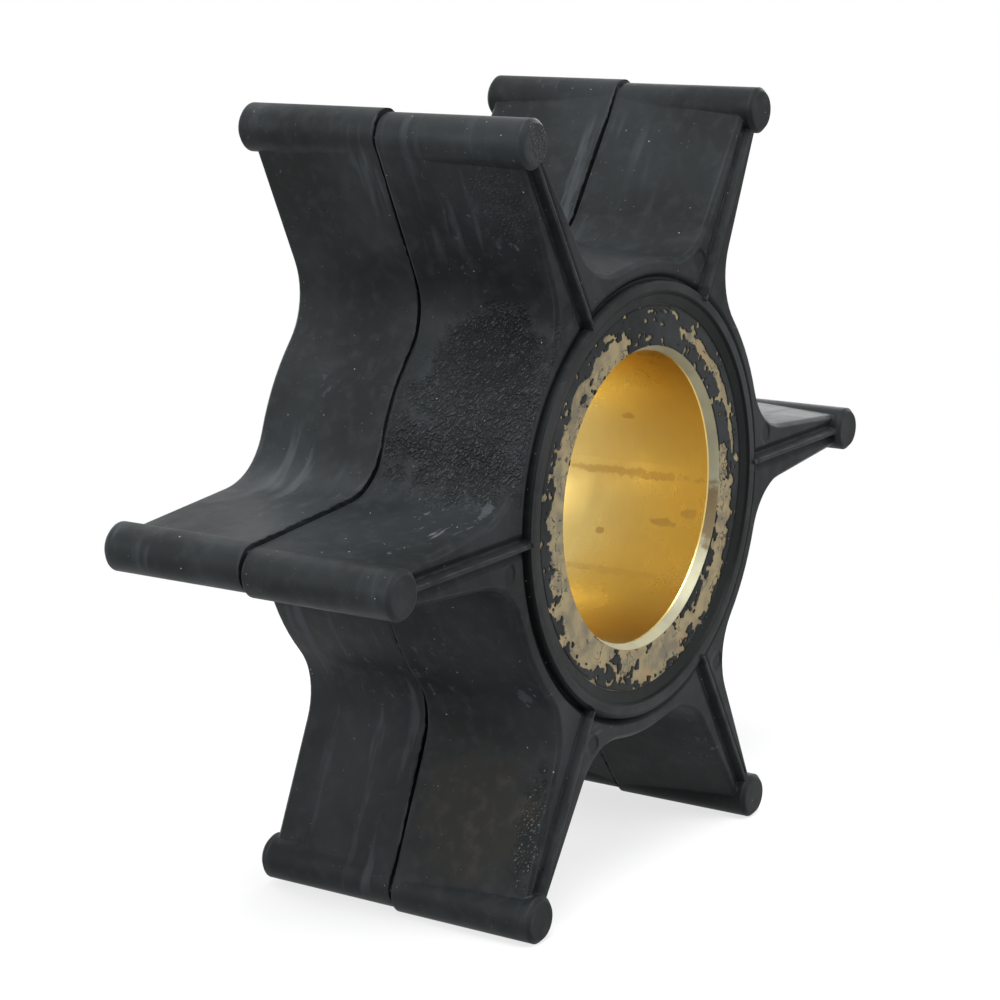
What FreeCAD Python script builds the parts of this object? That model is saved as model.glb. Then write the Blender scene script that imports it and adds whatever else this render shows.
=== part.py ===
"""Six-vane rubber pump impeller, moulded round a turned brass bush.

Frame: millimetres, origin at the centre of the bore at mid-width. The impeller
turns about +Y, Z is up, and it stands on the beads of its two lowest vanes.
The moulding has a front half (-Y) and a rear half (+Y), which meet at the
parting plane y = 0.
"""
import FreeCAD, Part
import math
import os
import Sketcher

# Driving dimensions, in millimetres and degrees: alias, value, meaning.
DIMENSIONS = [
    ("vane_count", 6, "vanes round the hub"),
    ("bead_circle_radius", 31.3, "axis to the centre of a tip bead"),
    ("bead_radius", 1.72, "tip bead"),
    ("bead_half_length", 11.95, "parting plane to the bead's flat end"),
    ("bead_end_bevel", 0.3, "bevelled rim of the bead's end"),
    ("half_width", 11.2, "parting plane to the end face of vanes and hub"),
    ("end_edge", 0.3, "bevel along the edge of the end face"),
    ("vane_tip_half", 1.7, "bead's centre to a flank, at the parting plane"),
    ("draft", 0.5, "how far hub and flanks draw in towards the ends"),
    ("vane_taper_angle", 5.1, "angle of a flank to the vane's centre plane"),
    ("root_fillet", 4.5, "fillet between a flank and the hub"),
    ("mould_mismatch", 0.26, "front half sits this much lower than the rear"),
    ("crevice_width", 0.3, "width of the crevice at the parting plane"),
    ("crevice_depth", 0.35, "depth of the crevice"),
    ("ring_width", 0.8, "top of the sealing ring, from edge to edge"),
    ("ring_height", 0.25, "sealing ring above the end face"),
    ("groove_width", 0.6, "groove round the outside of the ring, rising outwards"),
    ("groove_depth", 0.5, "depth of that groove under the end face"),
    ("lip_height", 0.45, "sealing lip of a vane above the end face"),
    ("lip_crest_half", 0.14, "half width of the lip's crest"),
    ("lip_foot_half", 0.34, "half width of the lip's foot in its bed"),
    ("lip_root_overlap", 0.2, "how far the lip's end reaches over the ring"),
    ("bed_depth", 0.25, "shallow trough that the lip stands in"),
    ("bed_floor_half", 0.5, "half width of the trough's floor"),
    ("bed_mouth_half", 0.95, "half width of the trough in the end face"),
    ("bush_wall", 3.46, "wall of the brass bush, between its bore and its seat"),
    ("recess_width", 1.0, "sloping recess, from the bush to the sealing ring"),
    ("hub_land", 2.1, "hub outside the sealing ring, at the parting plane"),
    ("bush_half_length", 11.03, "parting plane to the bush's end face"),
    ("bore_radius", 10.74, "bore of the bush"),
    ("bore_chamfer_width", 0.4, "radial width of the bore's chamfer"),
    ("bore_chamfer_length", 0.8, "axial length of the bore's chamfer"),
]

FRONT = -1
REAR = 1
ACROSS_SKETCH = FreeCAD.Vector(0, 0, 1)


class Size:
    """A length that knows its value and the sheet formula that it comes from."""

    def __init__(self, value, formula):
        self.value = value
        self.formula = formula

    def joined(self, sign, other, value):
        formula = other.formula if isinstance(other, Size) else repr(other)
        return Size(value, "(%s %s %s)" % (self.formula, sign, formula))

    def __add__(self, other):
        return self.joined("+", other, self.value + number(other))

    def __sub__(self, other):
        return self.joined("-", other, self.value - number(other))

    def __mul__(self, other):
        return self.joined("*", other, self.value * number(other))


def number(size):
    """The plain number of a Size or of a number."""
    return size.value if isinstance(size, Size) else size


class Sizes:
    """The driving dimensions, each bound to its cell of the sheet."""


doc = FreeCAD.newDocument("pump_impeller")
sheet = doc.addObject("Spreadsheet::Sheet", "Sizes")
size = Sizes()
for row, (alias, value, meaning) in enumerate(DIMENSIONS, start=1):
    sheet.set("A%d" % row, alias)
    sheet.set("B%d" % row, str(value))
    sheet.set("C%d" % row, meaning)
    sheet.setAlias("B%d" % row, alias)
    setattr(size, alias, Size(value, "Sizes." + alias))
doc.recompute()

# Worked out from the driving dimensions.
bush_outer_radius = size.bore_radius + size.bush_wall
ring_inner_radius = bush_outer_radius + size.recess_width
ring_outer_radius = ring_inner_radius + size.ring_width
hub_radius = ring_outer_radius + size.hub_land
half_crevice = size.crevice_width * 0.5
ring_top = size.half_width + size.ring_height
groove_floor = size.half_width - size.groove_depth
groove_outer_radius = ring_outer_radius + size.groove_width
recess_floor_radius = bush_outer_radius - size.mould_mismatch
bead_flat_radius = size.bead_radius - size.bead_end_bevel
lip_start = ring_outer_radius - size.lip_root_overlap
lip_length = size.bead_circle_radius - bead_flat_radius - lip_start
bed_floor = size.half_width - size.bed_depth
bed_length = size.bead_circle_radius - ring_outer_radius
cutter_top = size.half_width + size.bead_half_length


def new_sketch(body, name, plane, across=0, up=0, out=0):
    """A sketch on one of the body's own planes, its origin moved by three sizes."""
    sketch = body.newObject("Sketcher::SketchObject", name)
    origin_plane = [item for item in body.Origin.OriginFeatures if item.Role == plane][0]
    sketch.AttachmentSupport = (origin_plane, "")
    sketch.MapMode = "FlatFace"
    shift = FreeCAD.Vector(number(across), number(up), number(out))
    sketch.AttachmentOffset = FreeCAD.Placement(shift, FreeCAD.Rotation())
    for axis, amount in (("x", across), ("y", up), ("z", out)):
        if isinstance(amount, Size):
            sketch.setExpression("AttachmentOffset.Base." + axis, amount.formula)
    return sketch


def relate(sketch, kind, *ends):
    """Add a constraint without a size."""
    sketch.addConstraint(Sketcher.Constraint(kind, *ends))


def measure(sketch, kind, *ends, amount, unit=""):
    """Add a dimension and bind it to the sheet."""
    value = math.radians(amount.value) if unit else amount.value
    index = sketch.addConstraint(Sketcher.Constraint(kind, *ends, value))
    sketch.setExpression("Constraints[%d]" % index, amount.formula + unit)


def hold_point(sketch, point, x, y):
    """Hold a point (geometry, end) at signed sizes from the sketch's origin, 0 meaning on the axis."""
    for kind, axis, amount in (("DistanceX", -2, x), ("DistanceY", -1, y)):
        if not isinstance(amount, Size):
            relate(sketch, "PointOnObject", *point, axis)
        elif amount.value > 0:
            measure(sketch, kind, -1, 1, *point, amount=amount)
        else:
            measure(sketch, kind, *point, -1, 1, amount=amount * -1)


def closed_outline(sketch, corners, centres, smooth):
    """Sides from corner to corner: lines, or arcs where centres gives one.

    smooth lists the corners where two sides run into each other tangentially.
    Returns the first and the last point of each side, as (geometry, end).
    """
    firsts = []
    lasts = []
    for index, begin in enumerate(corners):
        finish = corners[(index + 1) % len(corners)]
        if index in centres:
            begin_angle = direction(begin - centres[index])
            turn = (direction(finish - centres[index]) - begin_angle) % math.tau
            forward = turn < math.pi
            start = begin_angle if forward else begin_angle + turn
            sweep = turn if forward else math.tau - turn
            circle = Part.Circle(centres[index], ACROSS_SKETCH, (begin - centres[index]).Length)
            side = Part.ArcOfCircle(circle, start, start + sweep)
        else:
            forward = True
            side = Part.LineSegment(begin, finish)
        geometry = sketch.addGeometry(side, False)
        firsts.append((geometry, 1 if forward else 2))
        lasts.append((geometry, 2 if forward else 1))
    for index in range(len(corners)):
        kind = "Tangent" if index in smooth else "Coincident"
        relate(sketch, kind, *lasts[index - 1], *firsts[index])
    return firsts, lasts


def direction(vector):
    """The angle of a vector in the sketch's plane."""
    return math.atan2(vector.y, vector.x)


def profile(sketch, corners):
    """A closed outline of straight sides through corners given as signed sizes."""
    points = [FreeCAD.Vector(number(x), number(y), 0) for x, y in corners]
    firsts, _ = closed_outline(sketch, points, {}, ())
    for point, (x, y) in zip(firsts, corners):
        hold_point(sketch, point, x, y)


def circle(sketch, radius):
    """A circle centred on the sketch's origin."""
    sketch.addGeometry(Part.Circle(FreeCAD.Vector(0, 0, 0), ACROSS_SKETCH, radius.value), False)
    measure(sketch, "Radius", 0, amount=radius)
    relate(sketch, "Coincident", 0, 3, -1, 1)


def mirrored(point):
    """The point on the other side of the sketch's x axis."""
    return FreeCAD.Vector(point.x, -point.y, 0)


def vane_outline(sketch, inset):
    """A vane's section along the x axis, from inside the hub to the centre of its bead.

    Each flank leans out at the taper angle towards the hub, and a fillet leads
    it on to the hub's circle. All lie inset inside the section at the parting
    plane, so that the walls between two sections are true planes and cones.
    """
    inset_hub_radius = hub_radius - inset
    flank_offset = size.vane_tip_half - inset
    fillet = size.root_fillet + inset
    taper = math.radians(size.vane_taper_angle.value)
    bead_centre = FreeCAD.Vector(size.bead_circle_radius.value, 0, 0)
    tip = bead_centre + FreeCAD.Vector(0, flank_offset.value / math.cos(taper), 0)
    off_flank = FreeCAD.Vector(math.sin(taper), math.cos(taper), 0)
    to_hub = FreeCAD.Vector(-math.cos(taper), math.sin(taper), 0)
    # The fillet's centre lies one fillet off the flank and one off the hub.
    beside_tip = tip + off_flank * fillet.value
    reach = inset_hub_radius.value + fillet.value
    along = beside_tip.dot(to_hub)
    run = -along - math.sqrt(along**2 - beside_tip.dot(beside_tip) + reach**2)
    centre = beside_tip + to_hub * run
    flank_end = tip + to_hub * run
    foot = centre * (inset_hub_radius.value / reach)
    root_depth = hub_radius * 0.5
    root = FreeCAD.Vector(root_depth.value, foot.y, 0)
    corners = [
        root,
        mirrored(root),
        mirrored(foot),
        mirrored(flank_end),
        mirrored(tip),
        tip,
        flank_end,
        foot,
    ]
    lower_fillet = 2
    lower_flank = 3
    upper_flank = 5
    upper_fillet = 6
    centres = {lower_fillet: mirrored(centre), upper_fillet: centre}
    firsts, lasts = closed_outline(sketch, corners, centres, (lower_flank, upper_fillet))
    relate(sketch, "Vertical", 0)
    relate(sketch, "Horizontal", 1)
    relate(sketch, "Horizontal", 7)
    measure(sketch, "DistanceX", -1, 1, *firsts[0], amount=root_depth)
    centre_mark = sketch.addGeometry(Part.Point(bead_centre), True)
    hold_point(sketch, (centre_mark, 1), size.bead_circle_radius, 0)
    relate(sketch, "Vertical", centre_mark, 1, *firsts[upper_flank])
    measure(sketch, "Distance", centre_mark, 1, upper_flank, amount=flank_offset)
    relate(sketch, "Symmetric", *lasts[lower_flank], *firsts[upper_flank], -1)
    relate(sketch, "Symmetric", *firsts[lower_flank], *lasts[upper_flank], -1)
    measure(sketch, "Angle", lower_flank, amount=size.vane_taper_angle, unit=" * 1 deg")
    measure(sketch, "Radius", lower_fillet, amount=fillet)
    # The hub's own circle, only as a guide that both fillets run into.
    hub_circle = Part.Circle(FreeCAD.Vector(0, 0, 0), ACROSS_SKETCH, inset_hub_radius.value)
    hub_arc = Part.ArcOfCircle(hub_circle, -direction(foot), direction(foot))
    guide = sketch.addGeometry(hub_arc, True)
    relate(sketch, "Coincident", guide, 3, -1, 1)
    measure(sketch, "Radius", guide, amount=inset_hub_radius)
    relate(sketch, "Tangent", guide, 1, *firsts[lower_fillet])
    relate(sketch, "Tangent", guide, 2, *lasts[upper_fillet])


def turned(body, name, sketch, kind="PartDesign::Revolution"):
    """Turn a profile a full circle about its sketch's own upright axis."""
    feature = body.newObject(kind, name)
    feature.Profile = sketch
    feature.ReferenceAxis = (sketch, ["V_Axis"])
    feature.Angle = 360
    return feature


def lofted(body, name, sketches):
    """Straight-sided material from each section to the next."""
    feature = body.newObject("PartDesign::AdditiveLoft", name)
    feature.Profile = sketches[0]
    feature.Sections = sketches[1:]
    feature.Ruled = True
    return feature


def raised(body, name, sketch, length):
    """Material along the sketch's normal: forwards, or outwards along a vane."""
    feature = body.newObject("PartDesign::Pad", name)
    feature.Profile = sketch
    feature.Length = length.value
    feature.setExpression("Length", length.formula)
    return feature


def sunk(body, name, sketch, length):
    """A pocket from a sketch along its normal, outwards along a vane."""
    feature = body.newObject("PartDesign::Pocket", name)
    feature.Profile = sketch
    feature.Length = length.value
    feature.setExpression("Length", length.formula)
    feature.Reversed = True
    return feature


def round_the_hub(body, name, features, axis_sketch):
    """Repeat the features of one vane for all of them."""
    pattern = body.newObject("PartDesign::PolarPattern", name)
    pattern.Originals = features
    pattern.Axis = (axis_sketch, ["V_Axis"])
    pattern.Angle = 360
    pattern.setExpression("Occurrences", size.vane_count.formula)
    body.Tip = pattern
    return pattern


def web(body):
    """The smaller middle layer, which forms the floor of the crevice: a disc with plain spokes."""
    inset = size.crevice_depth
    back = half_crevice * -1
    spoke_half = size.vane_tip_half - inset
    # The spoke's square end stays inside the bead's round.
    spoke_end = size.bead_circle_radius + spoke_half * 0.5
    disc_sketch = new_sketch(body, "WebHubSketch", "XZ_Plane", out=back)
    circle(disc_sketch, hub_radius - inset)
    raised(body, "WebHub", disc_sketch, size.crevice_width)
    vane_sketch = new_sketch(body, "WebVaneSketch", "XZ_Plane", out=back)
    profile(
        vane_sketch,
        [
            (0, spoke_half * -1),
            (spoke_end, spoke_half * -1),
            (spoke_end, spoke_half),
            (0, spoke_half),
        ],
    )
    vane = raised(body, "WebVane", vane_sketch, size.crevice_width)
    axis_sketch = new_sketch(body, "WebAxisSketch", "XY_Plane")
    axis_sketch.addGeometry(
        Part.LineSegment(FreeCAD.Vector(0, 0, 0), FreeCAD.Vector(0, size.half_width.value, 0)), True
    )
    round_the_hub(body, "WebVanes", [vane], axis_sketch)


def mould_half(body, name, side):
    """All that one half of the mould forms, from the crevice out to its end face."""
    shift = size.mould_mismatch * (side * 0.5)

    def section(part_name, level):
        """A sketch square to the wheel's axis, at a level counted from the parting plane."""
        return new_sketch(body, name + part_name, "XZ_Plane", up=shift, out=level * -side)

    def axial(part_name, across=0):
        """A sketch through the wheel's axis, for a turned shape."""
        return new_sketch(body, name + part_name, "XY_Plane", across=across, out=shift)

    def across_vane(part_name, distance):
        """A sketch square to the first vane, at a distance from the wheel's axis."""
        return new_sketch(body, name + part_name, "YZ_Plane", up=shift, out=distance)

    hub_sketch = axial("HubSketch")
    profile(
        hub_sketch,
        [
            (0, half_crevice * side),
            (hub_radius, half_crevice * side),
            (hub_radius - size.draft, (size.half_width - size.end_edge) * side),
            (hub_radius - size.draft - size.end_edge, size.half_width * side),
            (ring_outer_radius, size.half_width * side),
            (ring_outer_radius, ring_top * side),
            (0, ring_top * side),
        ],
    )
    turned(body, name + "Hub", hub_sketch)

    parting_section = section("VaneParting", half_crevice)
    vane_outline(parting_section, 0)
    shoulder_section = section("VaneShoulder", size.half_width - size.end_edge)
    vane_outline(shoulder_section, size.draft)
    face_section = section("VaneFace", size.half_width)
    vane_outline(face_section, size.draft + size.end_edge)
    vane = lofted(body, name + "Vane", [parting_section, shoulder_section, face_section])
    round_the_hub(body, name + "Vanes", [vane], hub_sketch)

    groove_sketch = axial("RingGrooveSketch")
    profile(
        groove_sketch,
        [
            (ring_outer_radius, groove_floor * side),
            (groove_outer_radius, size.half_width * side),
            (groove_outer_radius, cutter_top * side),
            (ring_outer_radius, cutter_top * side),
        ],
    )
    turned(body, name + "RingGroove", groove_sketch, "PartDesign::Groove")

    recess_sketch = axial("RecessSketch")
    profile(
        recess_sketch,
        [
            (0, size.bush_half_length * side),
            (recess_floor_radius, size.bush_half_length * side),
            (ring_inner_radius, ring_top * side),
            (ring_inner_radius, cutter_top * side),
            (0, cutter_top * side),
        ],
    )
    turned(body, name + "Recess", recess_sketch, "PartDesign::Groove")

    bed_sketch = across_vane("LipBedSketch", ring_outer_radius)
    profile(
        bed_sketch,
        [
            (bed_floor * side, size.bed_floor_half * -1),
            (size.half_width * side, size.bed_mouth_half * -1),
            (cutter_top * side, size.bed_mouth_half * -1),
            (cutter_top * side, size.bed_mouth_half),
            (size.half_width * side, size.bed_mouth_half),
            (bed_floor * side, size.bed_floor_half),
        ],
    )
    bed = sunk(body, name + "LipBed", bed_sketch, bed_length)

    bead_sketch = axial("BeadSketch", across=size.bead_circle_radius)
    profile(
        bead_sketch,
        [
            (0, half_crevice * side),
            (size.bead_radius, half_crevice * side),
            (size.bead_radius, (size.bead_half_length - size.bead_end_bevel) * side),
            (bead_flat_radius, size.bead_half_length * side),
            (0, size.bead_half_length * side),
        ],
    )
    bead = turned(body, name + "Bead", bead_sketch)

    lip_sketch = across_vane("LipSketch", lip_start)
    lip_top = size.half_width + size.lip_height
    profile(
        lip_sketch,
        [
            (groove_floor * side, size.lip_foot_half * -1),
            (bed_floor * side, size.lip_foot_half * -1),
            (lip_top * side, size.lip_crest_half * -1),
            (lip_top * side, size.lip_crest_half),
            (bed_floor * side, size.lip_foot_half),
            (groove_floor * side, size.lip_foot_half),
        ],
    )
    lip = raised(body, name + "Lip", lip_sketch, lip_length)

    round_the_hub(body, name + "EndDetails", [bed, bead, lip], hub_sketch)


def bush_seat(body):
    """The hole that the bush fills, true to the wheel's axis in both halves."""
    seat_sketch = new_sketch(body, "SeatSketch", "XY_Plane")
    profile(
        seat_sketch,
        [
            (0, cutter_top * -1),
            (bush_outer_radius, cutter_top * -1),
            (bush_outer_radius, cutter_top),
            (0, cutter_top),
        ],
    )
    turned(body, "Seat", seat_sketch, "PartDesign::Groove")


def make_rubber_body():
    """The whole rubber moulding, one piece."""
    body = doc.addObject("PartDesign::Body", "rubber_body")
    body.Label = "rubber_body"
    web(body)
    mould_half(body, "Front", FRONT)
    mould_half(body, "Rear", REAR)
    bush_seat(body)
    return body


def make_bush():
    """The turned brass bush, with a chamfer at each end of its bore."""
    body = doc.addObject("PartDesign::Body", "bush")
    body.Label = "bush"
    bore_end = size.bush_half_length - size.bore_chamfer_length
    mouth_radius = size.bore_radius + size.bore_chamfer_width
    sketch = new_sketch(body, "BushSketch", "XY_Plane")
    profile(
        sketch,
        [
            (size.bore_radius, bore_end * -1),
            (mouth_radius, size.bush_half_length * -1),
            (bush_outer_radius, size.bush_half_length * -1),
            (bush_outer_radius, size.bush_half_length),
            (mouth_radius, size.bush_half_length),
            (size.bore_radius, bore_end),
        ],
    )
    turned(body, "BushTurned", sketch)
    return body


pieces = [make_rubber_body(), make_bush()]
doc.recompute()

for item in doc.Objects:
    if "Invalid" in item.State or "Error" in item.State:
        raise RuntimeError("%s did not build" % item.Label)
for piece in pieces:
    if piece.Shape.isNull() or not piece.Shape.isValid():
        raise RuntimeError("%s has no valid shape" % piece.Label)
    if len(piece.Shape.Solids) != 1:
        raise RuntimeError("%s is %d solids, not 1" % (piece.Label, len(piece.Shape.Solids)))

os.makedirs("parts", exist_ok=True)
for piece in pieces:
    piece.Shape.exportStep("parts/%s.step" % piece.Label)
    print("%s: %.1f mm3" % (piece.Label, piece.Shape.Volume))
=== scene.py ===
"""Looks of the rubber pump impeller with its brass bush, in metres, in the part's own frame."""
import math

import bpy
from mathutils import Matrix, Vector, noise


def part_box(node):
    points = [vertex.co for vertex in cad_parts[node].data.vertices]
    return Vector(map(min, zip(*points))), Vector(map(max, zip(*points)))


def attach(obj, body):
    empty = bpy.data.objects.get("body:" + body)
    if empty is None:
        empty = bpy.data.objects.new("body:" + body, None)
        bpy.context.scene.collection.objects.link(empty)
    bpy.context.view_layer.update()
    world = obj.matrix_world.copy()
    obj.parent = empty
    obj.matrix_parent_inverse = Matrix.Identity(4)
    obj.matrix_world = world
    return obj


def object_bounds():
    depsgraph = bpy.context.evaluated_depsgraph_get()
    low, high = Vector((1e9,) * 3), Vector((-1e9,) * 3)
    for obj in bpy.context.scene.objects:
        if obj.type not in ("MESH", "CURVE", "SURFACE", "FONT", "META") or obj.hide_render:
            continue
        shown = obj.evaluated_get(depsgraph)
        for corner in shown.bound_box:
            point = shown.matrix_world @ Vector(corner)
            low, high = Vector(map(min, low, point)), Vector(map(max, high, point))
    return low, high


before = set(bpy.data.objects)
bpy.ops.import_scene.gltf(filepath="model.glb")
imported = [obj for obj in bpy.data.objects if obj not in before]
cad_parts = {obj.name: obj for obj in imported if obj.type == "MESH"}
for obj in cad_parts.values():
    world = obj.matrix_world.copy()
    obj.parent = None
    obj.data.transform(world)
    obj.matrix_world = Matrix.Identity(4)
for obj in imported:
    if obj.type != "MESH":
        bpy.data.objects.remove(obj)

cad_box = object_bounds()

# Camera
# A studio camera with a long lens, a little above the wheel and to the left of
# its front face, so that the near vane tips and the open bore both show.
camera_azimuth = math.radians(-56.217)
camera_elevation = math.radians(12.818)
camera_roll = math.radians(-0.631)
camera_distance = 0.198832
camera_shift_right = -0.001357
camera_shift_up = -0.001376
camera_clip_start = 0.01
lens_mm = 95.303
sensor_mm = 36

back = Vector(
    (
        math.sin(camera_azimuth) * math.cos(camera_elevation),
        -math.cos(camera_azimuth) * math.cos(camera_elevation),
        math.sin(camera_elevation),
    )
)
level_right = Vector((0, 0, 1)).cross(back).normalized()
level_up = back.cross(level_right)
right = level_right * math.cos(camera_roll) + level_up * math.sin(camera_roll)
up = level_up * math.cos(camera_roll) - level_right * math.sin(camera_roll)

camera_data = bpy.data.cameras.new("camera")
camera_data.lens = lens_mm
camera_data.sensor_width = sensor_mm
camera_data.clip_start = camera_clip_start
camera = bpy.data.objects.new("camera", camera_data)
bpy.context.scene.collection.objects.link(camera)
turn = Matrix((right, up, back)).transposed().to_4x4()
place = right * camera_shift_right + up * camera_shift_up + back * camera_distance
camera.matrix_world = Matrix.Translation(place) @ turn
bpy.context.scene.camera = camera
bpy.context.scene.view_settings.view_transform = "Standard"


# Floor
# A pale seamless sheet that the wheel stands on. It keeps the soft shadow under
# the wheel and runs out into the white of the studio.
def node(tree, kind, feeds=None, **settings):
    """Add a shader node, set it up, and feed its sockets with values or with other outputs."""
    made = tree.nodes.new("ShaderNode" + kind)
    for name, value in settings.items():
        setattr(made, name, value)
    for socket, feed in (feeds or {}).items():
        if isinstance(feed, bpy.types.NodeSocket):
            tree.links.new(feed, made.inputs[socket])
        else:
            made.inputs[socket].default_value = feed
    return made


def calculate(tree, operation, first, second=0.0, third=0.0, clamp=False):
    """One step of arithmetic on masks or heights."""
    feeds = {0: first, 1: second, 2: third}
    return node(tree, "Math", feeds, operation=operation, use_clamp=clamp).outputs[0]


def calculate_place(tree, operation, first, second):
    """One step of arithmetic on places, which gives a place."""
    return node(tree, "VectorMath", {0: first, 1: second}, operation=operation).outputs[0]


def length_of(tree, vector):
    """How far a place lies from the middle."""
    return node(tree, "VectorMath", {0: vector}, operation="LENGTH").outputs["Value"]


def object_place(tree):
    """Where a point lies on its object, in metres."""
    return node(tree, "TexCoord").outputs["Object"]


def between(tree, value, low, high):
    """0 up to low, 1 from high on, and a smooth rise in between. Low may be the larger one."""
    if low > high:
        rise = between(tree, value, high, low)
        return calculate(tree, "SUBTRACT", 1.0, rise)
    feeds = {"Value": value, "From Min": low, "From Max": high}
    return node(tree, "MapRange", feeds, interpolation_type="SMOOTHSTEP").outputs[0]


def blend_colour(tree, share, under, over):
    """The colour under, covered by the colour over where the mask share is 1."""
    made = node(tree, "Mix", {0: share, 6: under, 7: over}, data_type="RGBA")
    return made.outputs[2]


def looked_at(tree):
    """1 where the camera sees a surface, also as a reflection or through something clear."""
    rays = node(tree, "LightPath").outputs
    seen = calculate(tree, "MAXIMUM", rays["Is Camera Ray"], rays["Is Glossy Ray"])
    return calculate(tree, "MAXIMUM", seen, rays["Is Transmission Ray"])


def empty_material(name):
    """A material with no nodes yet, and its node tree."""
    material = bpy.data.materials.new(name)
    material.use_nodes = True
    material.node_tree.nodes.clear()
    return material, material.node_tree


def finish_with(piece, material):
    """Give a piece one material in place of what it has."""
    piece.data.materials.clear()
    piece.data.materials.append(material)


floor_level = cad_box[0][2]
floor_radius = 1.5
shadow_radius = 0.030
white_radius = 0.075
shadow_veil = 0.72
paper = (0.36, 0.36, 0.36, 1)
white = (1, 1, 1, 1)

bpy.ops.object.select_all(action="DESELECT")
bpy.ops.mesh.primitive_circle_add(
    vertices=96, radius=floor_radius, fill_type="NGON", location=(0, 0, floor_level)
)
floor = bpy.context.object
floor.name = "floor"
bpy.ops.object.transform_apply(location=True, rotation=False, scale=False)

floor_paint, tree = empty_material("floor_paint")
seen = looked_at(tree)
sheet_colour = blend_colour(tree, seen, paper, white)
sheet_feeds = {"Base Color": sheet_colour, "Roughness": 0.85, "Specular IOR Level": 0.1}
sheet = node(tree, "BsdfPrincipled", sheet_feeds)
glow = node(tree, "Emission", {"Color": white, "Strength": 1.0})
under_wheel = calculate_place(tree, "ADD", object_place(tree), (0, 0, -floor_level))
faded = between(tree, length_of(tree, under_wheel), shadow_radius, white_radius)
whiteness = calculate(tree, "MAXIMUM", faded, shadow_veil)
glow_share = calculate(tree, "MULTIPLY", whiteness, seen)
floor_mix = node(tree, "MixShader", {0: glow_share, 1: sheet.outputs[0], 2: glow.outputs[0]})
node(tree, "OutputMaterial", {"Surface": floor_mix.outputs[0]})
finish_with(floor, floor_paint)

# Studio light
# A large soft box overhead, weaker ones in front, behind and at both sides, and
# a pale room that is white where it is looked at.
room_tint = (0.90, 0.96, 1, 1)
room_strength = 0.2

world = bpy.data.worlds.new("studio")
bpy.context.scene.world = world
world.use_nodes = True
tree = world.node_tree
tree.nodes.clear()
room_light = node(tree, "Background", {"Color": room_tint, "Strength": room_strength})
room_seen = node(tree, "Background", {"Color": white, "Strength": 1.0})
room_feeds = {0: looked_at(tree), 1: room_light.outputs[0], 2: room_seen.outputs[0]}
room_mix = node(tree, "MixShader", room_feeds)
node(tree, "OutputWorld", {"Surface": room_mix.outputs[0]})


def soft_box(name, position, size, power):
    """A square lamp that faces the middle of the wheel."""
    lamp = bpy.data.lights.new(name, "AREA")
    lamp.shape = "SQUARE"
    lamp.size = size
    lamp.energy = power
    holder = bpy.data.objects.new(name, lamp)
    holder.location = position
    holder.rotation_euler = (-Vector(position)).to_track_quat("-Z", "Y").to_euler()
    bpy.context.scene.collection.objects.link(holder)


soft_box("top_light", (-0.15, -0.1, 0.5), 0.35, 3.6)
soft_box("front_light", (0.15, -0.5, 0.25), 0.35, 1.4)
soft_box("left_light", (-0.5, 0.12, 0.2), 0.3, 1.6)
soft_box("right_light", (0.5, 0.1, 0.2), 0.3, 1.1)
soft_box("rear_light", (0.12, 0.5, 0.2), 0.35, 1.4)

# Rubber body
# One black rubber moulding, vulcanised round the bush in a two-part mould. Its
# satin skin has mould grain, a pebbled patch on the hub, wipe marks, scuffs
# from handling, small ejector marks beside the vanes, and white dust. Shade is
# painted into the dimples, the recess and the groove on the end faces, and
# highlights are painted on the pebble tops and, with the wear, along the edges.
mm = 0.001
vane_count = 6
edge_width = 0.25 * mm
grain_height = 0.012 * mm
wave_height = 0.12 * mm
pebble_depth = 0.27 * mm
crumb_depth = 0.10 * mm
ejector_depth = 0.22 * mm
ring_crown_height = 0.42 * mm
ring_outside = 16.6 * mm

# Sizes of the marks, as so many to the metre.
broad_tears_per_metre = 450.0
small_tears_per_metre = 1500.0
grain_per_metre = 5200.0
waves_per_metre = 260.0
pebbles_per_metre = 4600.0
# How far, in metres, the sides of the pebbles are bent.
crinkle = (0.0011, -0.0009, 0.0010)

# Rings round the axis, in millimetres: two radii to fade in, then two to fade out.
hub_skin = (16.9, 17.1, 18.8, 20.5)
ring_top = (14.85, 15.30, 15.80, 16.15)
# Painted shade fills the recess by the bush and the groove round the ring.
recess_by_bush = (14.18, 14.25, 15.10, 15.35)
groove_round_ring = (15.95, 16.10, 16.55, 16.75)

# Ovals beside each vane, in millimetres: how far out from the axis, how far beside
# the middle of the vane, and half their length and half their width.
# The ejector oval is a shallow dimple with painted shade in it; the pair beside the bead caps is
# painted shade only.
ejector_mark = (18.3, 1.7, 0.95, 0.8)
bead_cap_shade_pair = [
    (29.7, 0.75, 0.36, 0.3),
    (29.7, -0.75, 0.36, 0.3),
]

# Patches: middle and reach in millimetres, raggedness, and strength where it isn't 1.
pebbled_place = ((-15.4, -6.4, 9.0), (9.0, 6.9, 9.6), 1.1)
brown_place = ((-14.3, -5.5, -21.0), (3.5, 5.4, 6.4), 1.6)
crumbly_places = [
    ((-15.0, -9.0, 23.0), (3.0, 2.6, 3.5), 2.5, 0.35),
    ((-14.5, -10.0, -21.0), (2.6, 1.0, 5.5), 2.5),
    ((-15.1, -12.0, 27.2), (1.6, 0.8, 2.0), 1.0, 0.8),
]
scuff_places = [
    ((-22.5, -8.6, 2.0), (5.0, 2.8, 2.0), 2.0),
    ((-13.1, -9.3, -12.0), (1.6, 1.0, 1.8), 2.0),
    ((10.0, -10.1, -21.3), (2.0, 2.0, 4.0), 2.0),
]
smear_places = [
    ((-19.2, -9.9, 2.5), (1.5, 0.4, 0.7), 3.5, 0.6),
    ((-13.1, -9.0, -11.9), (0.8, 0.7, 1.0), 3.0, 0.6),
]

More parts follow.
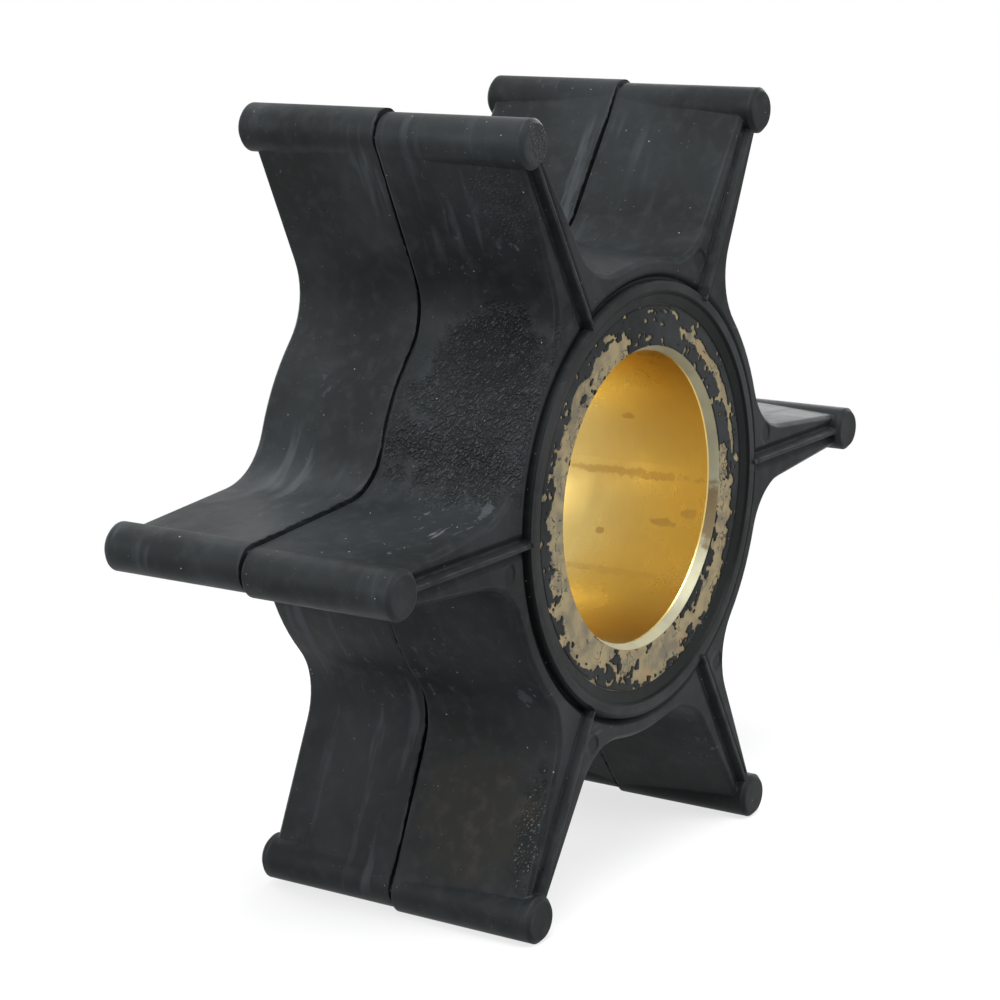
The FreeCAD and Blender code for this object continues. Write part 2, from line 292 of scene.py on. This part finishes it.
bare_black = (0.0088, 0.0104, 0.0108)
bloom_grey = (0.0190, 0.0222, 0.0236)
mottle_grey = (0.030, 0.034, 0.036, 1)
stain_brown = (0.036, 0.031, 0.025, 1)
pebble_highlight_grey = (0.068, 0.077, 0.079, 1)
wipe_grey = (0.068, 0.078, 0.084, 1)
scuff_grey = (0.11, 0.11, 0.13, 1)
smear_grey = (0.062, 0.068, 0.076, 1)
rubbed_grey = (0.085, 0.091, 0.096, 1)
painted_shade_black = (0.005, 0.006, 0.006, 1)
crumb_grey = (0.15, 0.15, 0.145, 1)
fine_dust_grey = (0.22, 0.22, 0.21, 1)
dust_grey = (0.34, 0.34, 0.32, 1)


def open_group(name, inputs, outputs):
    """A shader node group, with what comes in and what it gives out."""
    group = bpy.data.node_groups.new(name, "ShaderNodeTree")
    for label, kind, start in inputs:
        socket = group.interface.new_socket(
            name=label, in_out="INPUT", socket_type="NodeSocket" + kind
        )
        socket.default_value = start
    for label in outputs:
        kind = "Vector" if label == "normal" else "Float"
        group.interface.new_socket(name=label, in_out="OUTPUT", socket_type="NodeSocket" + kind)
    taken = group.nodes.new("NodeGroupInput").outputs
    given = group.nodes.new("NodeGroupOutput").inputs
    return group, taken, given


def use_group(tree, group, **values):
    """Place a group in a material, with its own values, and return its outputs."""
    placed = tree.nodes.new("ShaderNodeGroup")
    placed.node_tree = group
    for label, value in values.items():
        socket = placed.inputs[label.replace("_", " ")]
        if isinstance(value, bpy.types.NodeSocket):
            tree.links.new(value, socket)
        else:
            socket.default_value = value
    return placed.outputs


def specks_group():
    """Round specks of dust, scattered over any surface."""
    inputs = [
        ("specks per metre", "Float", 900.0),
        ("largest", "Float", 0.08),
        ("share", "Float", 0.5),
    ]
    group, taken, given = open_group("dust_specks", inputs, ["mask"])
    cell_feeds = {"Vector": object_place(group), "Scale": taken["specks per metre"]}
    cells = node(group, "TexVoronoi", cell_feeds)
    chance = node(group, "SeparateColor", {0: cells.outputs["Color"]}).outputs
    varied = calculate(group, "MULTIPLY_ADD", chance["Green"], 0.8, 0.2)
    reach = calculate(group, "MULTIPLY", taken["largest"], varied)
    near = calculate(group, "LESS_THAN", cells.outputs["Distance"], reach)
    chosen = calculate(group, "LESS_THAN", chance["Red"], taken["share"])
    group.links.new(calculate(group, "MULTIPLY", near, chosen), given["mask"])
    return group


def patch_group():
    """A soft patch of the surface round a place, with a ragged edge."""
    inputs = [
        ("middle", "Vector", (0, 0, 0)),
        ("reach", "Vector", (0.005, 0.005, 0.005)),
        ("torn", "Float", 0.0),
    ]
    group, taken, given = open_group("ragged_patch", inputs, ["mask"])
    offset = calculate_place(group, "SUBTRACT", object_place(group), taken["middle"])
    scaled = calculate_place(group, "DIVIDE", offset, taken["reach"])
    edge = calculate(group, "ADD", length_of(group, scaled), taken["torn"])
    group.links.new(between(group, edge, 1.0, 0.6), given["mask"])
    return group


def streaks_group():
    """Thin streaks along one direction, broken up as wipe marks are."""
    inputs = [
        ("turn", "Vector", (0, 0, 0)),
        ("per metre", "Vector", (60, 60, 900)),
        ("low", "Float", 0.58),
        ("high", "Float", 0.72),
    ]
    group, taken, given = open_group("wipe_streaks", inputs, ["mask"])
    feeds = {"Vector": object_place(group), "Rotation": taken["turn"], "Scale": taken["per metre"]}
    drawn_out = node(group, "Mapping", feeds).outputs[0]
    feeds = {"Vector": drawn_out, "Scale": 1.0, "Detail": 3.0, "Roughness": 0.6}
    lines = node(group, "TexNoise", feeds).outputs["Fac"]
    feeds = {"Value": lines, "From Min": taken["low"], "From Max": taken["high"]}
    thin = node(group, "MapRange", feeds, interpolation_type="SMOOTHSTEP").outputs[0]
    group.links.new(thin, given["mask"])
    return group


def polar_group():
    """Distance from the axis, angle round it and place along it."""
    group, _, given = open_group("round_the_axis", [], ["radius", "angle", "along"])
    parts = node(group, "SeparateXYZ", {0: object_place(group)}).outputs
    across = node(group, "CombineXYZ", {"X": parts["X"], "Y": parts["Z"]}).outputs[0]
    group.links.new(length_of(group, across), given["radius"])
    group.links.new(calculate(group, "ARCTAN2", parts["Z"], parts["X"]), given["angle"])
    group.links.new(parts["Y"], given["along"])
    return group


def edges_group():
    """Where the surface turns sharply, and the normal that rounds such an edge off."""
    outputs = ["mask", "normal"]
    group, taken, given = open_group("sharp_edges", [("width", "Float", 0.0003)], outputs)
    softened = node(group, "Bevel", {"Radius": taken["width"]}, samples=4).outputs[0]
    plain = node(group, "NewGeometry").outputs["Normal"]
    same = node(group, "VectorMath", {0: softened, 1: plain}, operation="DOT_PRODUCT")
    turned = calculate(group, "SUBTRACT", 1.0, same.outputs["Value"])
    group.links.new(between(group, turned, 0.02, 0.2), given["mask"])
    group.links.new(softened, given["normal"])
    return group


dust_specks = specks_group()
ragged_patch = patch_group()
wipe_streaks = streaks_group()
round_the_axis = polar_group()
sharp_edges = edges_group()


def noise_at(tree, per_metre, detail=4.0):
    """Cloudy noise fixed to the object."""
    feeds = {"Vector": object_place(tree), "Scale": per_metre, "Detail": detail}
    return node(tree, "TexNoise", feeds).outputs["Fac"]


def both(tree, first, second):
    """Where both masks are, or a mask or height at another strength."""
    return calculate(tree, "MULTIPLY", first, second)


def add_up(tree, masks, operation="MAXIMUM"):
    """Join several masks or heights into one."""
    total = masks[0]
    for mask in masks[1:]:
        total = calculate(tree, operation, total, mask)
    return total


def tear(tree, per_metre):
    """Noise either side of zero, which makes the edges of patches ragged."""
    return calculate(tree, "SUBTRACT", noise_at(tree, per_metre), 0.5)


def patch(tree, torn, middle_mm, reach_mm, ragged, strength=1.0):
    """A patch with a ragged edge, at a place given in millimetres."""
    middle = [value * mm for value in middle_mm]
    reach = [value * mm for value in reach_mm]
    torn = calculate(tree, "MULTIPLY", torn, ragged)
    mask = use_group(tree, ragged_patch, middle=middle, reach=reach, torn=torn)["mask"]
    return both(tree, mask, strength)


def patches(tree, torn, places):
    """Several ragged patches as one mask."""
    return add_up(tree, [patch(tree, torn, *place) for place in places])


def ring(tree, radius, fades_mm):
    """A ring round the axis that fades in over two radii and out over two more."""
    in_from, in_to, out_from, out_to = [value * mm for value in fades_mm]
    inside = between(tree, radius, in_from, in_to)
    outside = between(tree, radius, out_to, out_from)
    return both(tree, inside, outside)


def on_end_face(tree):
    """1 where the surface faces along the axis."""
    facing = node(tree, "SeparateXYZ", {0: node(tree, "NewGeometry").outputs["True Normal"]})
    along = calculate(tree, "ABSOLUTE", facing.outputs["Y"])
    return calculate(tree, "GREATER_THAN", along, 0.9)


def marks_by_vane(tree, out_mm, beside_mm, along_mm, across_mm):
    """A small soft oval on both end faces, the same beside each vane."""
    pitch = math.tau / vane_count
    first_angle = math.asin(beside_mm / out_mm)
    polar = use_group(tree, round_the_axis)
    shifted = calculate(tree, "ADD", polar["angle"], math.tau + pitch / 2 - first_angle)
    folded = calculate(tree, "SUBTRACT", calculate(tree, "MODULO", shifted, pitch), pitch / 2)
    sideways = calculate(tree, "MULTIPLY", folded, out_mm / along_mm)
    outwards = calculate(tree, "SUBTRACT", polar["radius"], out_mm * mm)
    outwards = calculate(tree, "DIVIDE", outwards, across_mm * mm)
    oval = node(tree, "CombineXYZ", {"X": sideways, "Y": outwards}).outputs[0]
    soft_oval = between(tree, length_of(tree, oval), 1.05, 0.55)
    return both(tree, soft_oval, on_end_face(tree))


def rubber_marks(tree):
    """Marks that mould, age, handling and dust left, and painted shade and highlights: masks by
    name, and the worn normal.
    """
    polar = use_group(tree, round_the_axis)
    radius = polar["radius"]
    broad_tear = tear(tree, broad_tears_per_metre)
    small_tear = tear(tree, small_tears_per_metre)
    marks = {}

    # From the mould: the pebbled skin at the upper left of the hub, the crumbly
    # patches on two vanes, the crown of the ring and the ejector dimples. The other
    # rings and ovals on the end faces mark where shade is painted: the recess by the
    # bush, the groove round the ring, the ejector dimples and beside the bead caps.
    bend_feeds = {0: small_tear, 1: crinkle, 2: object_place(tree)}
    crinkled = node(tree, "VectorMath", bend_feeds, operation="MULTIPLY_ADD").outputs[0]
    pebbles = node(tree, "TexVoronoi", {"Vector": crinkled, "Scale": pebbles_per_metre})
    marks["pebbles"] = pebbles.outputs["Distance"]
    pebbled = patch(tree, broad_tear, *pebbled_place)
    marks["pebbled"] = both(tree, pebbled, ring(tree, radius, hub_skin))
    marks["crumbly"] = patches(tree, small_tear, crumbly_places)
    marks["ring_top"] = ring(tree, radius, ring_top)
    marks["recess"] = ring(tree, radius, recess_by_bush)
    marks["groove"] = ring(tree, radius, groove_round_ring)
    marks["ejector"] = marks_by_vane(tree, *ejector_mark)
    marks["bead_marks"] = add_up(tree, [marks_by_vane(tree, *mark) for mark in bead_cap_shade_pair])

    # From age: cloudy bloom, mottling and a brown stain on the lower left vane.
    marks["clouds"] = between(tree, noise_at(tree, 95.0, 5.0), 0.35, 0.68)
    marks["mottled"] = between(tree, noise_at(tree, 900.0), 0.45, 0.75)
    brown = patch(tree, broad_tear, *brown_place)
    brown_share = calculate(tree, "MULTIPLY_ADD", marks["mottled"], 0.5, 0.25)
    marks["brown"] = both(tree, brown, brown_share)

    # From handling: wipe marks, stronger on the rear half, scuffs and smears. The
    # edges are lighter, partly as wear and partly as a painted highlight.
    wiped = use_group(
        tree, wipe_streaks, turn=(0.5, 0.9, 0.3), per_metre=(90, 650, 90), low=0.54, high=0.70
    )["mask"]
    wiped = both(tree, wiped, between(tree, noise_at(tree, 55.0, 1.0), 0.46, 0.60))
    rear = calculate(tree, "GREATER_THAN", polar["along"], 0.0)
    marks["wiped"] = both(tree, wiped, calculate(tree, "MULTIPLY_ADD", rear, 0.25, 0.3))
    scuffed = use_group(
        tree, wipe_streaks, turn=(0.1, 0.2, 0.35), per_metre=(170, 1500, 1500), low=0.60, high=0.70
    )["mask"]
    scuff_anywhere = both(tree, between(tree, noise_at(tree, 130.0, 2.0), 0.60, 0.70), 0.5)
    scuff_where = add_up(tree, [patches(tree, small_tear, scuff_places), scuff_anywhere])
    marks["scuffed"] = both(tree, both(tree, scuffed, scuff_where), 0.8)
    marks["smeared"] = patches(tree, small_tear, smear_places)
    edges = use_group(tree, sharp_edges, width=edge_width)
    edge_breaks = between(tree, noise_at(tree, 420.0, 2.0), 0.34, 0.60)
    outside_ring = calculate(tree, "GREATER_THAN", radius, ring_outside)
    # Lighter edges: partly wear, partly a painted highlight.
    rubbed = both(tree, edges["mask"], edge_breaks)
    marks["rubbed"] = both(tree, rubbed, both(tree, outside_ring, 0.6))
    marks["worn_normal"] = edges["normal"]

    # Dust, as fine specks and as larger ones.
    fine_dust = use_group(tree, dust_specks, specks_per_metre=1900.0, largest=0.09, share=0.6)
    dust = use_group(tree, dust_specks, specks_per_metre=1200.0, largest=0.062, share=0.6)
    marks["fine_dust"] = fine_dust["mask"]
    marks["dust"] = dust["mask"]
    return marks


def rubber_relief(tree, marks):
    """How far the skin stands above the solid, in metres."""
    heights = [
        both(tree, noise_at(tree, grain_per_metre, 2.0), grain_height),
        both(tree, noise_at(tree, waves_per_metre, 2.0), wave_height),
        both(tree, both(tree, marks["pebbles"], marks["pebbled"]), -pebble_depth),
        both(tree, both(tree, marks["pebbles"], marks["crumbly"]), -crumb_depth),
        both(tree, marks["ejector"], -ejector_depth),
        both(tree, marks["ring_top"], ring_crown_height),
    ]
    return add_up(tree, heights, "ADD")


def rubber_colour(tree, marks, darker):
    """Colour, from the bare rubber up to the dust that lies on it."""
    bare = [value * darker for value in bare_black] + [1]
    bloomed = [value * darker for value in bloom_grey] + [1]
    # Painted highlight: the tops of the pebbles are lighter.
    pebble_top_highlight = both(tree, marks["pebbled"], between(tree, marks["pebbles"], 0.42, 0.12))
    crumb_tips = both(tree, marks["crumbly"], between(tree, marks["pebbles"], 0.30, 0.14))
    # Painted shade: darker colour in the ejector dimples, beside the bead caps, in the recess by
    # the bush and in the groove round the ring.
    painted_hollow_shade = [
        both(tree, marks["ejector"], 0.6),
        both(tree, marks["bead_marks"], 0.8),
        both(tree, marks["recess"], 0.95),
        both(tree, marks["groove"], 0.8),
    ]
    coats = [
        (marks["mottled"], 0.4, mottle_grey),
        (marks["brown"], 1.0, stain_brown),
        (pebble_top_highlight, 0.9, pebble_highlight_grey),
        (marks["wiped"], 1.0, wipe_grey),
        (marks["scuffed"], 1.0, scuff_grey),
        (marks["smeared"], 1.0, smear_grey),
        (marks["rubbed"], 1.0, rubbed_grey),
        (add_up(tree, painted_hollow_shade), 1.0, painted_shade_black),
        (crumb_tips, 0.85, crumb_grey),
        (marks["fine_dust"], 0.4, fine_dust_grey),
        (marks["dust"], 1.0, dust_grey),
    ]
    colour = blend_colour(tree, marks["clouds"], bare, bloomed)
    for mask, strength, over in coats:
        colour = blend_colour(tree, both(tree, mask, strength), colour, over)
    return colour


def rubber_material(name, darker=1.0):
    """Black moulded rubber with all its marks."""
    material, tree = empty_material(name)
    marks = rubber_marks(tree)
    height = rubber_relief(tree, marks)
    bump = node(tree, "Bump", {"Height": height, "Distance": 1.0, "Normal": marks["worn_normal"]})
    rough = calculate(tree, "MULTIPLY_ADD", marks["clouds"], -0.10, 0.54)
    dulled = [marks["dust"], marks["fine_dust"], marks["scuffed"], marks["wiped"]]
    skin_feeds = {
        "Base Color": rubber_colour(tree, marks, darker),
        "Roughness": calculate(tree, "MULTIPLY_ADD", add_up(tree, dulled), 0.3, rough, clamp=True),
        "Specular IOR Level": 0.11,
        "Normal": bump.outputs[0],
    }
    skin = node(tree, "BsdfPrincipled", skin_feeds)
    node(tree, "OutputMaterial", {"Surface": skin.outputs[0]})
    return material


moulded_rubber = rubber_material("moulded_rubber")
rubber_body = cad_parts["rubber_body"]
finish_with(rubber_body, moulded_rubber)

# Flash on the parting line
# A thin lip of rubber that squeezed out where the two halves of the mould met.
# It leans over the crevice from the rear half, ragged, and is torn off in places.
flash_root = 0.16 * mm
flash_reach = 0.19 * mm
flash_thickness = 0.05 * mm
flash_step = 0.3 * mm
flash_halvings = 6
flash_tolerance = 0.001 * mm
least_flash = 0.08
bush_side = 15.0 * mm

flash = bpy.data.objects.new("parting_flash", rubber_body.data.copy())
bpy.context.scene.collection.objects.link(flash)
bpy.ops.object.select_all(action="DESELECT")
bpy.context.view_layer.objects.active = flash
flash.select_set(True)
bpy.ops.object.mode_set(mode="EDIT")
bpy.ops.mesh.select_mode(type="EDGE")
bpy.ops.mesh.select_all(action="SELECT")
bpy.ops.mesh.remove_doubles(threshold=flash_tolerance)
bpy.ops.mesh.bisect(
    plane_co=(0, flash_root, 0),
    plane_no=(0, 1, 0),
    clear_inner=True,
    clear_outer=True,
    threshold=flash_tolerance,
)


def select_edges(piece, wanted):
    """Select the edges of a piece for which wanted, given both ends, is true."""
    bpy.ops.mesh.select_all(action="DESELECT")
    bpy.ops.object.mode_set(mode="OBJECT")
    points = piece.data.vertices
    for edge in piece.data.edges:
        start, end = edge.vertices
        edge.select = wanted(points[start].co, points[end].co)
    bpy.ops.object.mode_set(mode="EDIT")


def thicken(piece, thickness, offset):
    """Give the active piece, a bare skin, its thickness: outwards at offset 1, inwards at -1."""
    bpy.ops.object.modifier_add(type="SOLIDIFY")
    solidify = piece.modifiers[-1]
    solidify.thickness = thickness
    solidify.offset = offset
    bpy.ops.object.modifier_apply(modifier=solidify.name)


select_edges(flash, lambda start, end: math.hypot(start.x, start.z) < bush_side)
bpy.ops.mesh.delete(type="EDGE")
for halving in range(flash_halvings):
    select_edges(flash, lambda start, end: (end - start).length > flash_step)
    bpy.ops.mesh.subdivide(number_cuts=1)
bpy.ops.mesh.select_all(action="SELECT")
bpy.ops.mesh.extrude_region_move(TRANSFORM_OT_translate={"value": (0, -flash_reach, 0)})
bpy.ops.mesh.select_all(action="SELECT")
bpy.ops.mesh.normals_make_consistent(inside=False)
bpy.ops.mesh.select_mode(type="FACE")
bpy.ops.mesh.select_all(action="DESELECT")
bpy.ops.object.mode_set(mode="OBJECT")
outermost = max(flash.data.polygons, key=lambda face: face.center.length)
if outermost.normal.dot(outermost.center) < 0:
    flash.data.flip_normals()
for point in flash.data.vertices:
    if point.co.y < flash_root - 0.5 * flash_reach:
        spot = Vector((point.co.x, 0, point.co.z)) / mm
        broad = 0.9 * noise.noise(spot * 0.22)
        ragged = 0.55 * noise.fractal(spot * 1.6, 0.8, 2.0, 3)
        left_over = 0.45 + broad + ragged
        point.co.y = flash_root - flash_reach * min(1.0, max(0.0, left_over))
for face in flash.data.polygons:
    face.select = face.center.y > flash_root - least_flash * flash_reach
bpy.ops.object.mode_set(mode="EDIT")
bpy.ops.mesh.delete(type="FACE")
bpy.ops.mesh.select_mode(type="VERT")
bpy.ops.object.mode_set(mode="OBJECT")
thicken(flash, flash_thickness, -1)
finish_with(flash, moulded_rubber)
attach(flash, "root")

# Brass bush
# Turned from brass bar, bored plain and chamfered at both ends. The bore is
# bright, with fine turning rings and a few stains. The end faces are dull and
# tan, as the bonding and the mould left them.
bore_radius = 10.74 * mm
bore_margin = 0.05 * mm
bush_radius = 14.2 * mm
chamfer_mouth_radius = 11.14 * mm
face_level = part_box("bush")[1][1]
bush_edge_width = 0.06 * mm
bore_ring_height = 0.006 * mm
face_ring_height = 0.012 * mm
pit_depth = 0.05 * mm
bore_rings_per_metre = 9000.0
face_rings_per_metre = 6000.0
cracks_per_metre = 400.0
holes_per_metre = 1500.0
# How far, in metres, the cracks and holes wander.
crack_wander = 0.0042

# Patches: middle and reach in millimetres, raggedness, and strength where it isn't 1.
bore_stain_places = [
    ((9.8, -6.9, -4.3), (1.2, 1.3, 0.35), 1.5),
    ((10.1, -3.6, 3.7), (0.5, 0.7, 0.3), 1.5),
    ((9.3, -1.5, -5.4), (0.5, 0.5, 0.3), 1.5),
    ((10.2, -9.0, -3.5), (0.6, 0.8, 0.5), 1.5),
    ((10.7, -3.3, -0.9), (1.0, 6.5, 0.42), 2.4, 0.8),
    ((7.2, -4.0, -7.95), (0.5, 8.0, 0.32), 1.6, 0.4),
]
chamfer_right_place = ((10.3, -11.0, -3.4), (1.8, 2.2, 3.3), 1.2, 0.9)
holed_place = ((-13.0, -11.0, -1.5), (4.0, 3.0, 9.5), 1.5)

bright_gold = (0.72, 0.555, 0.205, 1)
deep_gold = (0.64, 0.475, 0.165, 1)
ring_gold = (0.52, 0.34, 0.085, 1)
bore_stain_brown = (0.42, 0.24, 0.06, 1)
chamfer_highlight_pale = (0.38, 0.385, 0.285, 1)
chamfer_highlight_dull = (0.27, 0.275, 0.215, 1)
chamfer_right_brown = (0.085, 0.050, 0.024, 1)
face_tan = (0.31, 0.245, 0.125, 1)
face_drab = (0.150, 0.125, 0.078, 1)
face_rust = (0.30, 0.20, 0.095, 1)
pit_black = (0.024, 0.022, 0.021, 1)

turned_brass, tree = empty_material("turned_brass")
polar = use_group(tree, round_the_axis)
fine_tear = tear(tree, small_tears_per_metre)
end_face = on_end_face(tree)
in_bore = calculate(tree, "LESS_THAN", polar["radius"], bore_radius + bore_margin)
off_bore = calculate(tree, "SUBTRACT", 1.0, in_bore)
chamfer = calculate(tree, "SUBTRACT", off_bore, end_face, clamp=True)


def turning_rings(coordinate, per_metre):
    """Fine rings that the turning tool left, along the axis or across a face."""
    place = both(tree, coordinate, per_metre)
    feeds = {"W": place, "Scale": 1.0, "Detail": 3.0}
    return node(tree, "TexNoise", feeds, noise_dimensions="1D").outputs["Fac"]


# The bore: bright gold, deeper in the rings, with brown stains, two of them long bands.
rings = turning_rings(polar["along"], bore_rings_per_metre)
gold_clouds = between(tree, noise_at(tree, 140.0), 0.4, 0.7)
colour = blend_colour(tree, gold_clouds, bright_gold, deep_gold)
colour = blend_colour(tree, both(tree, rings, 0.3), colour, ring_gold)
stains = patches(tree, fine_tear, bore_stain_places)
spots = use_group(tree, dust_specks, specks_per_metre=420.0, largest=0.15, share=0.25)["mask"]
stains = add_up(tree, [stains, both(tree, spots, 0.4)])
colour = blend_colour(tree, both(tree, stains, 0.5), colour, bore_stain_brown)

# The chamfer: dull, with a painted pale highlight, and darker brown on the right.
pale_clouds = between(tree, noise_at(tree, 230.0, 3.0), 0.4, 0.62)
pale = blend_colour(tree, pale_clouds, chamfer_highlight_pale, chamfer_highlight_dull)
pale = blend_colour(tree, patch(tree, fine_tear, *chamfer_right_place), pale, chamfer_right_brown)
colour = blend_colour(tree, both(tree, chamfer, 0.9), colour, pale)

# The end faces: tan and blotched, with wandering cracks, and with holes that lie
# closest on the left of the bore.
face_rings = turning_rings(polar["radius"], face_rings_per_metre)
face_clouds = between(tree, noise_at(tree, 700.0, 5.0), 0.35, 0.7)
face_colour = blend_colour(tree, face_clouds, face_tan, face_drab)
rusty = between(tree, noise_at(tree, 260.0, 3.0), 0.58, 0.7)
face_colour = blend_colour(tree, rusty, face_colour, face_rust)
face_place = object_place(tree)
wander_feeds = {"Vector": face_place, "Scale": 900.0, "Detail": 3.0}
wander = node(tree, "TexNoise", wander_feeds).outputs["Color"]
wander = node(tree, "VectorMath", {0: wander, "Scale": crack_wander}, operation="SCALE").outputs[0]
wandering = calculate_place(tree, "ADD", face_place, wander)
crack_feeds = {"Vector": wandering, "Scale": cracks_per_metre}
crack_cells = node(tree, "TexVoronoi", crack_feeds, feature="DISTANCE_TO_EDGE")
cracked = between(tree, crack_cells.outputs["Distance"], 0.030, 0.010)
cracked = both(tree, cracked, between(tree, noise_at(tree, 330.0, 3.0), 0.49, 0.56))
hole_cells = node(tree, "TexVoronoi", {"Vector": wandering, "Scale": holes_per_metre})
chance = node(tree, "SeparateColor", {0: hole_cells.outputs["Color"]}).outputs
hole_size = both(tree, chance["Green"], 0.42)
holes = calculate(tree, "LESS_THAN", hole_cells.outputs["Distance"], hole_size)
holes = both(tree, holes, calculate(tree, "LESS_THAN", chance["Red"], 0.55))
holed_anywhere = between(tree, noise_at(tree, 300.0, 2.0), 0.50, 0.56)
holed = add_up(tree, [patch(tree, fine_tear, *holed_place), holed_anywhere])
pits = add_up(tree, [cracked, both(tree, holes, holed)])
face_colour = blend_colour(tree, both(tree, pits, 0.9), face_colour, pit_black)
colour = blend_colour(tree, end_face, colour, face_colour)

dull = calculate(tree, "MULTIPLY_ADD", end_face, 0.9, both(tree, chamfer, 0.7))
stained_dull = calculate(tree, "MULTIPLY_ADD", stains, 0.25, dull)
metal = calculate(tree, "SUBTRACT", 1.0, stained_dull, clamp=True)
roughness = calculate(tree, "MULTIPLY_ADD", dull, 0.35, 0.26)
roughness = calculate(tree, "MULTIPLY_ADD", gold_clouds, 0.1, roughness)
heights = [
    both(tree, both(tree, rings, in_bore), bore_ring_height),
    both(tree, both(tree, face_rings, end_face), face_ring_height),
    both(tree, both(tree, pits, end_face), -pit_depth),
]
height = add_up(tree, heights, "ADD")
rounded = use_group(tree, sharp_edges, width=bush_edge_width)["normal"]
bump = node(tree, "Bump", {"Height": height, "Distance": 1.0, "Normal": rounded})
metal_feeds = {
    "Base Color": colour,
    "Metallic": metal,
    "Roughness": roughness,
    "Normal": bump.outputs[0],
}
shader = node(tree, "BsdfPrincipled", metal_feeds)
node(tree, "OutputMaterial", {"Surface": shader.outputs[0]})
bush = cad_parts["bush"]
finish_with(bush, turned_brass)

# Torn film on the end faces
# A skin of rubber, under a tenth of a millimetre thick, that crept over the brass
# in the mould and was partly torn away. It still sticks where it wasn't rubbed
# off, mostly along the outside, with ragged edges and small flakes.
film_rubber = rubber_material("film_rubber", 0.9)
film_thickness = 0.07 * mm
film_inner_radius = chamfer_mouth_radius + 0.02 * mm
film_outer_radius = bush_radius - 0.03 * mm
film_steps_round = 560
film_steps_out = 28
# Above this share of the flake noise, the film has a small hole.
fleck_level = 0.52
# Bare patches: angle round the bore and half its spread, in degrees, then how
# far out and half its breadth, as shares of the ring's breadth.
front_bare = [
    (184, 36, 0.16, 0.46),
    (222, 26, 0.26, 0.52),
    (148, 18, 0.22, 0.38),
    (133, 12, 0.50, 0.16),
    (114, 13, 0.26, 0.36),
    (52, 13, 0.55, 0.13),
    (31, 10, 0.62, 0.12),
    (12, 9, 0.66, 0.08),
    (1, 8, 0.14, 0.24),
    (345, 15, 0.34, 0.36),
    (318, 18, 0.62, 0.28),
    (283, 23, 0.40, 0.50),
    (262, 12, 0.16, 0.22),
]
rear_bare = [
    (20, 30, 0.40, 0.55),
    (75, 26, 0.30, 0.34),
    (128, 20, 0.60, 0.22),
    (170, 14, 0.20, 0.30),
    (205, 22, 0.50, 0.40),
    (250, 16, 0.35, 0.50),
    (300, 24, 0.55, 0.22),
    (338, 12, 0.20, 0.30),
]


def is_bare(point, bare_patches, seed):
    """Whether the film is torn away at a point of the end face."""
    angle = math.degrees(math.atan2(point.z, point.x))
    radius = math.hypot(point.x, point.z)
    outwards = (radius - film_inner_radius) / (film_outer_radius - film_inner_radius)
    shifted = point / mm + Vector((seed, seed, seed))
    rag = 0.55 * noise.fractal(shifted * 0.9, 0.6, 2.1, 4) + 0.12 * noise.noise(shifted * 5)
    deepest = -1.0
    for middle, spread, out, breadth in bare_patches:
        turned_by = (angle - middle + 180) % 360 - 180
        away = math.hypot(turned_by / spread, (outwards - out) / breadth)
        deepest = max(deepest, 1 - away)
    islands = 0.5 * noise.fractal(shifted * 1.7, 0.5, 2.0, 3)
    flecks = noise.fractal(shifted * 1.3 + Vector((9, 9, 9)), 0.4, 2.0, 3)
    return deepest + rag + min(0, islands + 0.12) > 0 or flecks > fleck_level


def make_film(name, side, bare_patches, seed):
    """The film on one end face: a fine ring, torn, smoothed and given its thickness."""
    bpy.ops.object.select_all(action="DESELECT")
    bpy.ops.mesh.primitive_circle_add(
        vertices=film_steps_round,
        radius=film_inner_radius,
        location=(0, side * face_level, 0),
        rotation=(math.radians(90), 0, 0),
    )
    film = bpy.context.object
    film.name = name
    bpy.ops.object.transform_apply(location=True, rotation=True, scale=True)
    bpy.ops.object.mode_set(mode="EDIT")
    bpy.ops.mesh.select_all(action="SELECT")
    step = (film_outer_radius - film_inner_radius) / film_steps_out
    for count in range(film_steps_out):
        radius = film_inner_radius + count * step
        grow = (radius + step) / radius
        bpy.ops.mesh.extrude_region_move()
        bpy.ops.transform.resize(value=(grow, 1, grow), center_override=(0, 0, 0))
    bpy.ops.mesh.select_all(action="DESELECT")
    bpy.ops.object.mode_set(mode="OBJECT")
    for face in film.data.polygons:
        face.select = is_bare(face.center, bare_patches, seed)
    bpy.ops.object.mode_set(mode="EDIT")
    bpy.ops.mesh.delete(type="FACE")
    bpy.ops.mesh.select_all(action="SELECT")
    bpy.ops.mesh.vertices_smooth(factor=0.5, repeat=2)
    bpy.ops.mesh.normals_make_consistent(inside=False)
    bpy.ops.object.mode_set(mode="OBJECT")
    if film.data.polygons[0].normal.y * side < 0:
        film.data.flip_normals()
    thicken(film, film_thickness, 1)
    finish_with(film, film_rubber)
    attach(film, "root")


make_film("front_film", -1, front_bare, 3.0)
make_film("rear_film", 1, rear_bare, 17.0)
